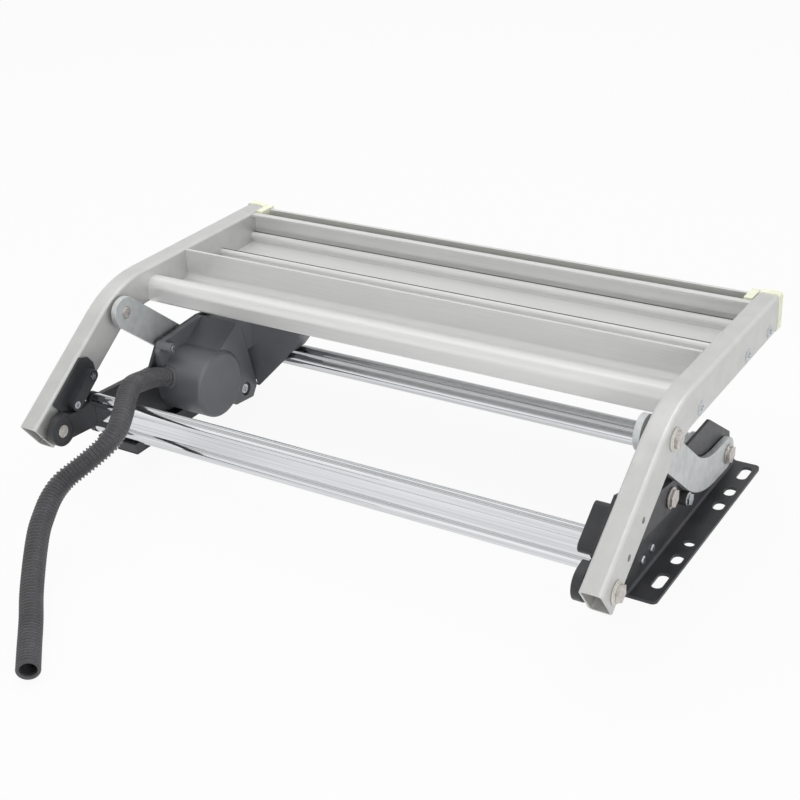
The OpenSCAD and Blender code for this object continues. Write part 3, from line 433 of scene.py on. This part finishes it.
def smooth_path(route, steps):
    """Points on a smooth curve through the route, as the solid has it."""
    points = [Vector(p) * MM for p in route]
    padded = [2 * points[0] - points[1], *points, 2 * points[-1] - points[-2]]
    path = []
    for a, b, c, d in zip(padded, padded[1:], padded[2:], padded[3:]):
        for k in range(steps):
            t = k / steps
            path.append(0.5 * (2 * b + (c - a) * t + (2 * a - 5 * b + 4 * c - d) * t**2
                               + (3 * b - a - 3 * c + d) * t**3))
    return [*path, points[-1]]


def path_lengths(path):
    lengths = [0.0]
    for a, b in zip(path, path[1:]):
        lengths.append(lengths[-1] + (b - a).length)
    return lengths


def along(path, lengths, distance):
    """Point at a distance along the path."""
    for i in range(1, len(path)):
        if distance <= lengths[i] or i == len(path) - 1:
            share = (distance - lengths[i - 1]) / (lengths[i] - lengths[i - 1])
            return path[i - 1].lerp(path[i], share)


def hose_rings(path, stations):
    """Circles of points round the path, each turned on from the one before without twist."""
    lengths = path_lengths(path)
    angles = [2 * math.pi * k / HOSE_SIDES for k in range(HOSE_SIDES)]
    side = None
    rings = []
    for distance, radius in stations:
        centre = along(path, lengths, distance)
        ahead = along(path, lengths, min(distance + PATH_PROBE, lengths[-1]))
        behind = along(path, lengths, max(distance - PATH_PROBE, 0))
        run = (ahead - behind).normalized()
        side = run.cross(Vector((1, 0, 0)) if side is None else side.cross(run)).normalized()
        up = run.cross(side)
        rings.append([centre + radius * (math.cos(a) * side + math.sin(a) * up) for a in angles])
    return rings


def ribbed_tube(path, length):
    """Mesh of the tube, with ribs outside and a plain bore inside."""
    pitch = length / HOSE_RIBS
    outside = []
    for i in range(HOSE_RIBS):
        outside += [((i + t) * pitch, HOSE_D / 2 - RIB_DEPTH * dip) for t, dip in RIB_SHAPE]
    outside.append((length, HOSE_D / 2 - RIB_DEPTH))
    inside = [(length * (1 - k / BORE_RINGS), HOSE_BORE / 2) for k in range(BORE_RINGS + 1)]
    rings = hose_rings(path, outside) + hose_rings(path, inside[::-1])[::-1]
    faces = []
    for i in range(len(rings)):
        base = i * HOSE_SIDES
        after = (i + 1) % len(rings) * HOSE_SIDES
        for k in range(HOSE_SIDES):
            j = (k + 1) % HOSE_SIDES
            faces.append((base + k, base + j, after + j, after + k))
    mesh = bpy.data.meshes.new("ribbed_conduit")
    mesh.from_pydata([p for ring in rings for p in ring], [], faces)
    mesh.polygons.foreach_set("use_smooth", [True] * len(mesh.polygons))
    mesh.update()
    return mesh


def make_conduit():
    path = smooth_path(HOSE_ROUTE, PATH_STEPS)
    length = path_lengths(path)[-1]
    conduit = add_object("ribbed_conduit", ribbed_tube(path, length))
    paint(conduit, finishes["conduit_plastic"])
    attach(conduit, "base")
    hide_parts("conduit")


make_conduit()

# Lens heads of the tread's screws on the arms' outer faces

# Height over the arm, radius and wave of each ring of points, in millimetres, with the socket's floor last
HEAD_PROFILE = (
    (0.0, 6.5, 0), (0.3, 6.5, 0), (0.8, 5.4, 0), (1.2, 3.6, 0), (1.3, 2.9, 0), (0.2, 2.5, 0.4),
)
HEAD_SIDES = 48
SOCKET_LOBES = 6
FRONT_BAR_HALF = 11 * MM


def add_head(shape, side, face_x, middle_y, middle_z):
    """One domed disc with a lobed socket, on the left or right arm."""
    rings = []
    for height, radius, wave in HEAD_PROFILE:
        ring = []
        for k in range(HEAD_SIDES):
            turn = side * 2 * math.pi * k / HEAD_SIDES
            reach = (radius + wave * math.cos(SOCKET_LOBES * turn)) * MM
            place = (side * (face_x + height * MM), middle_y + reach * math.cos(turn),
                     middle_z + reach * math.sin(turn))
            ring.append(shape.verts.new(place))
        rings.append(ring)
    for ring, after in zip(rings, rings[1:]):
        for k in range(HEAD_SIDES):
            j = (k + 1) % HEAD_SIDES
            shape.faces.new((ring[k], ring[j], after[j], after[k]))
    shape.faces.new(rings[-1])
    shape.faces.new(rings[0][::-1])


def make_screw_heads():
    arm_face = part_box("right_arm")[1][0]
    low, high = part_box("tread_screws")
    middle_z = (low[2] + high[2]) / 2
    rows = [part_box("front_plank")[0][1] + FRONT_BAR_HALF, *BEAD_PLACES]
    shape = bmesh.new()
    for side in (-1, 1):
        for row in rows:
            add_head(shape, side, arm_face, row, middle_z)
    mesh = bpy.data.meshes.new("tread_screw_heads")
    shape.to_mesh(mesh)
    shape.free()
    heads = add_object("tread_screw_heads", mesh)
    paint(heads, finishes["bright_zinc"])
    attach(heads, "tread_frame")


make_screw_heads()

# Stage and light

FLOOR_SIZE = 8.0
FLOOR_DROP = 0.2 * MM
FLOOR_COLOUR = (0.6, 0.6, 0.6)
FLOOR_ROUGHNESS = 0.7
FLOOR_SEEN = 0.93
FLOOR_MIRRORED = 0.6
FADE_START = 0.8
FADE_END = 3.0
SKY_LIGHT = 0.45
WHITE = (1, 1, 1, 1)
BLACK = (0, 0, 0)
CARD_HEIGHT = 1.6
CARD_REACH_X = (-5.0, 0.5)
# Near and far edge along Y and level of each card
CARDS = [
    (-2.4, -1.9, 0.45), (-1.9, -1.7, 1.0), (-1.7, -1.3, 0.6), (-1.3, -1.1, 1.0), (-1.1, -0.7, 0.4),
    (-0.7, -0.55, 1.0), (-0.55, 0.0, 0.55), (0.0, 0.7, 1.0), (0.7, 1.3, 0.45), (1.3, 1.9, 1.0),
    (1.9, 8.0, 0.58),
]
LAMPS = {
    "top_light": dict(place=(-0.3, 0.1, 1.9), aim=(0, 0, 0), size=2.4, watts=40, mirrored=True),
    "right_light": dict(place=(1.6, -1.2, 0.35), aim=(-0.2, 0, 0.08), size=0.6, watts=18, mirrored=False),
}


def see_white(tree, direct, mirrored):
    """How much of its own white the background shows to straight rays and to mirrors."""
    rays = tree.nodes.new("ShaderNodeLightPath").outputs
    straight = math_node(tree, "MAXIMUM", rays["Is Camera Ray"], rays["Is Transmission Ray"])
    return math_node(tree, "MAXIMUM", math_node(tree, "MULTIPLY", straight, direct),
                     math_node(tree, "MULTIPLY", rays["Is Glossy Ray"], mirrored))


def make_world():
    world = bpy.data.worlds.new("studio")
    world.use_nodes = True
    tree = world.node_tree
    background = tree.nodes["Background"]
    background.inputs["Color"].default_value = WHITE
    level = math_node(tree, "MAXIMUM", see_white(tree, 1.0, 1.0), SKY_LIGHT)
    tree.links.new(level, background.inputs["Strength"])
    bpy.context.scene.world = world


def stage_sheet(name, reach_x, reach_y, height):
    """A flat rectangle that belongs to the stage."""
    (left, right), (near, far) = reach_x, reach_y
    mesh = bpy.data.meshes.new(name)
    corners = [(left, near, height), (right, near, height), (right, far, height), (left, far, height)]
    mesh.from_pydata(corners, [], [(0, 1, 2, 3)])
    sheet = add_object(name, mesh)
    return sheet


def floor_fade(tree):
    """0 near the part, rising to 1 far from it."""
    place = tree.nodes.new("ShaderNodeTexCoord")
    distance = tree.nodes.new("ShaderNodeVectorMath")
    distance.operation = "LENGTH"
    tree.links.new(place.outputs["Object"], distance.inputs[0])
    fade = tree.nodes.new("ShaderNodeMapRange")
    fade.inputs["From Min"].default_value = FADE_START
    fade.inputs["From Max"].default_value = FADE_END
    tree.links.new(distance.outputs["Value"], fade.inputs["Value"])
    return fade.outputs["Result"]


def make_floor():
    """Pale floor that keeps the part's shadow and fades to white far from it."""
    reach = (-FLOOR_SIZE / 2, FLOOR_SIZE / 2)
    floor = stage_sheet("floor", reach, reach, -FLOOR_DROP)
    material, tree, shader = new_material("floor", FLOOR_COLOUR, FLOOR_ROUGHNESS)
    glow = tree.nodes.new("ShaderNodeEmission")
    glow.inputs["Color"].default_value = WHITE
    near_glow = see_white(tree, FLOOR_SEEN, FLOOR_MIRRORED)
    far_glow = math_node(tree, "MULTIPLY", see_white(tree, 1.0, 1.0), floor_fade(tree))
    mix = tree.nodes.new("ShaderNodeMixShader")
    tree.links.new(math_node(tree, "MAXIMUM", near_glow, far_glow), mix.inputs["Fac"])
    tree.links.new(shader.outputs["BSDF"], mix.inputs[1])
    tree.links.new(glow.outputs["Emission"], mix.inputs[2])
    tree.links.new(mix.outputs["Shader"], tree.nodes["Material Output"].inputs["Surface"])
    paint(floor, material)


def grey_card(name, reach_y, level):
    """A card overhead that only mirrors see, for the streaks on bright metal."""
    card = stage_sheet(name, CARD_REACH_X, reach_y, CARD_HEIGHT)
    material, _, shader = new_material(name, BLACK, 1.0)
    shader.inputs["Specular IOR Level"].default_value = 0
    shader.inputs["Emission Color"].default_value = WHITE
    shader.inputs["Emission Strength"].default_value = level
    paint(card, material)
    card.visible_camera = False
    card.visible_diffuse = False
    card.visible_shadow = False
    card.visible_transmission = False


def soft_light(name, place, aim, size, watts, mirrored):
    data = bpy.data.lights.new(name, "AREA")
    data.shape = "SQUARE"
    data.size = size
    data.energy = watts
    light = add_object(name, data)
    light.location = place
    light.rotation_mode = "QUATERNION"
    light.rotation_quaternion = (Vector(aim) - Vector(place)).to_track_quat("-Z", "Y")
    light.visible_glossy = mirrored


make_world()
make_floor()
for i, (near_y, far_y, level) in enumerate(CARDS):
    grey_card(f"card_{i}", (near_y, far_y), level)
for name, lamp in LAMPS.items():
    soft_light(name, **lamp)

bpy.context.scene.view_settings.view_transform = "Standard"
